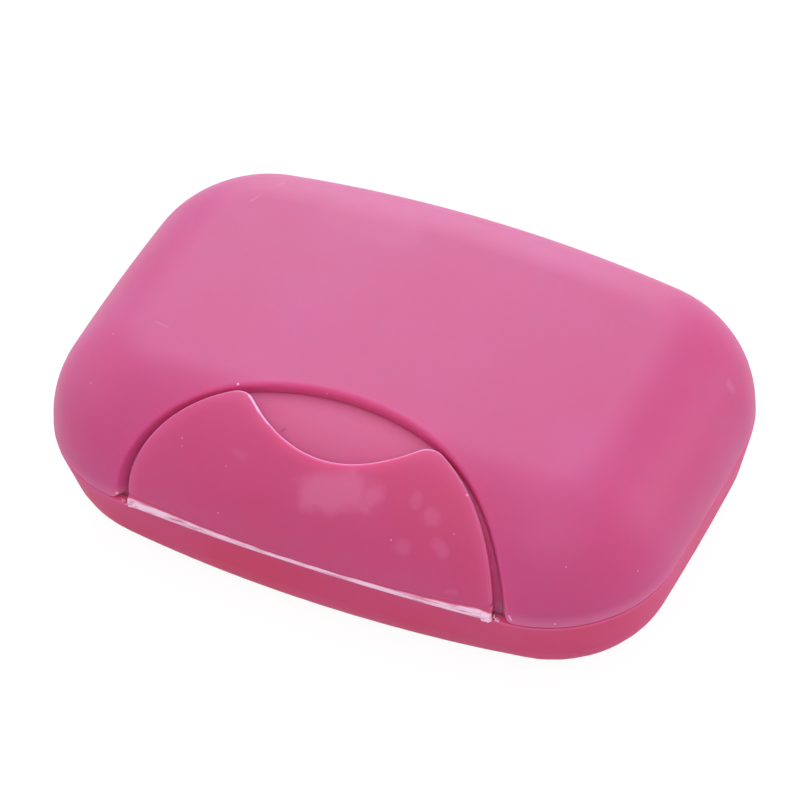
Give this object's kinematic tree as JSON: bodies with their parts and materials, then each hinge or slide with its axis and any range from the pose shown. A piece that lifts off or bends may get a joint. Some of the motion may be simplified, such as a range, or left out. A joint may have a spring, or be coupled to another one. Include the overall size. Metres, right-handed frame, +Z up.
{
  "type": "soap box",
  "caption": "Oblong travel soap box: a ribbed tray, a crowned lid on a rear film hinge and a front latch flap with a thumb scallop on its own film hinge.",
  "frame": {"origin": "middle of the underside, on the surface that the box stands on", "axes": "+X along the box, +Y towards the lid's hinge, so that the latch faces -Y, and +Z up"},
  "size_m": [0.112, 0.0781, 0.0391],
  "materials": {
    "tray": "satin moulded polypropylene, pink",
    "lid": "satin moulded polypropylene, pink",
    "latch": "satin moulded polypropylene, pink",
    "stressed_film": "polypropylene whitened by bending",
    "hinge_film": "thin polypropylene"
  },
  "bodies": {
    "base": {"base_shell": "tray", "latch_hinge_film": "stressed_film", "lid_hinge_film": "hinge_film"},
    "lid": {"lid_shell": "lid"},
    "latch": {"latch_flap": "latch"}
  },
  "joints": [
    {"name": "lid_hinge", "type": "hinge", "parent": "base", "child": "lid", "pos_m": [0, 0.0392, 0.01698], "axis": [-1, 0, 0], "range_deg": [0, 155], "deforming": ["lid_hinge_film"]},
    {"name": "latch_hinge", "type": "hinge", "parent": "base", "child": "latch", "pos_m": [0, -0.0392, 0.01732], "axis": [1, 0, 0], "range_deg": [0, 155], "deforming": ["latch_hinge_film"]}
  ]
}
